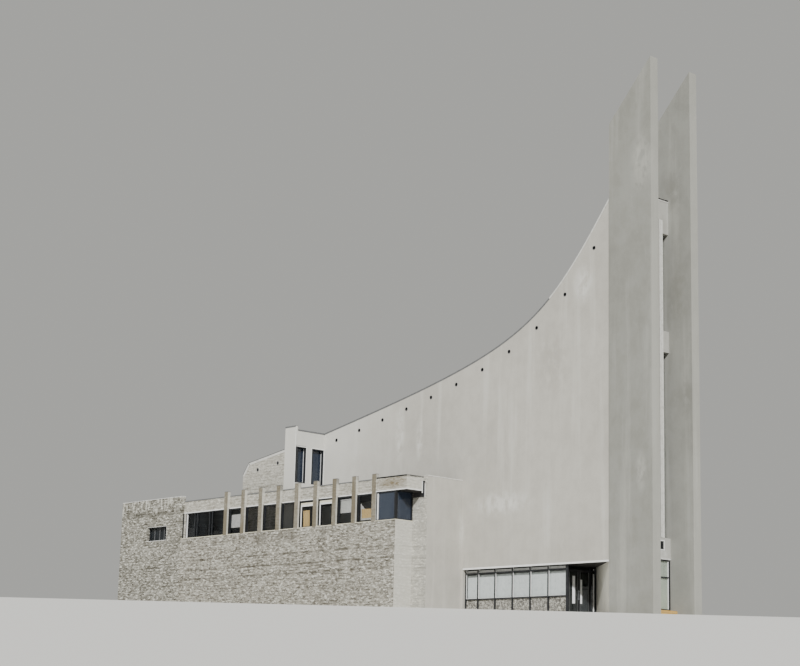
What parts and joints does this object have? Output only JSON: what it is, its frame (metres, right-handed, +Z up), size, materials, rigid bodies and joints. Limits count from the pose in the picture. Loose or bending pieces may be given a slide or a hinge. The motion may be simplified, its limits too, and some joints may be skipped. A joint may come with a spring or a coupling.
{
  "type": "modern church building",
  "caption": "Concrete church with a roofline that sweeps up to a tall tower of thin fins, a recessed ground floor window and porch doors, light scoops, and a low flat-roofed wing.",
  "frame": {"origin": "centre of the building's overall box in plan, on the lowest ground under it", "axes": "+X runs along the nave towards the tower, +Y from the front with the wing and the porch to the back, +Z up"},
  "size_m": [36.8, 17.12, 26.23],
  "materials": {
    "fin_render": "matte",
    "nave_render": "matte",
    "rough_concrete": "matte",
    "roofing": "matte",
    "floor_concrete": "matte",
    "dark_frame": "satin",
    "glass": "gloss",
    "pebble_panel": "matte",
    "timber": "matte",
    "door_paint": "satin"
  },
  "bodies": {
    "building": {"near_fin": "fin_render", "far_fin": "fin_render", "tower_wall": "nave_render", "tower_window_frame": "dark_frame", "tower_glass": "glass", "tower_slot_glass": "glass", "tower_step": "timber", "tower_roof": "roofing", "near_nave_wall": "nave_render", "far_nave_wall": "nave_render", "diagonal_end_wall": "nave_render", "nave_roof": "roofing", "ground_floor": "floor_concrete", "hall_floor": "floor_concrete", "upper_floor": "floor_concrete", "ribbon_frame": "dark_frame", "ribbon_glass": "glass", "ribbon_panels": "pebble_panel", "far_ribbon_frame": "dark_frame", "far_ribbon_glass": "glass", "porch_splay_wall": "nave_render", "porch_door_frame": "dark_frame", "porch_glass": "glass", "near_scoop": "nave_render", "far_scoop": "nave_render", "near_scoop_glass": "glass", "far_scoop_glass": "glass", "chancel_beam": "nave_render", "scoop_roof": "roofing", "scoop_back_wall": "nave_render", "chancel_near_wall": "rough_concrete", "chancel_far_wall": "rough_concrete", "chancel_end_wall": "rough_concrete", "chancel_roof": "roofing", "wing_lower_wall": "rough_concrete", "wing_fascia": "rough_concrete", "wing_window_frame": "dark_frame", "wing_glass": "glass", "corner_canopy": "rough_concrete", "corner_window_frame": "dark_frame", "corner_glass": "glass", "wing_end_pier": "rough_concrete", "wing_end_wall": "nave_render", "low_roof": "roofing", "west_front_wall": "rough_concrete", "west_front_glass": "glass", "west_end_wall": "rough_concrete", "west_end_glass": "glass", "west_far_wall": "rough_concrete", "west_far_glass": "glass"},
    "left_door": {"left_door_leaf": "door_paint", "left_door_glass": "glass"},
    "right_door": {"right_door_leaf": "door_paint", "right_door_glass": "glass"}
  },
  "joints": [
    {"name": "left_door_hinge", "type": "hinge", "parent": "building", "child": "left_door", "pos_m": [12.35889, -3.84084, 1.2], "axis": [0, 0, -1], "range_deg": [0, 90]},
    {"name": "right_door_hinge", "type": "hinge", "parent": "building", "child": "right_door", "pos_m": [12.69968, -2.70485, 1.2], "axis": [0, 0, 1], "range_deg": [0, 90]}
  ]
}
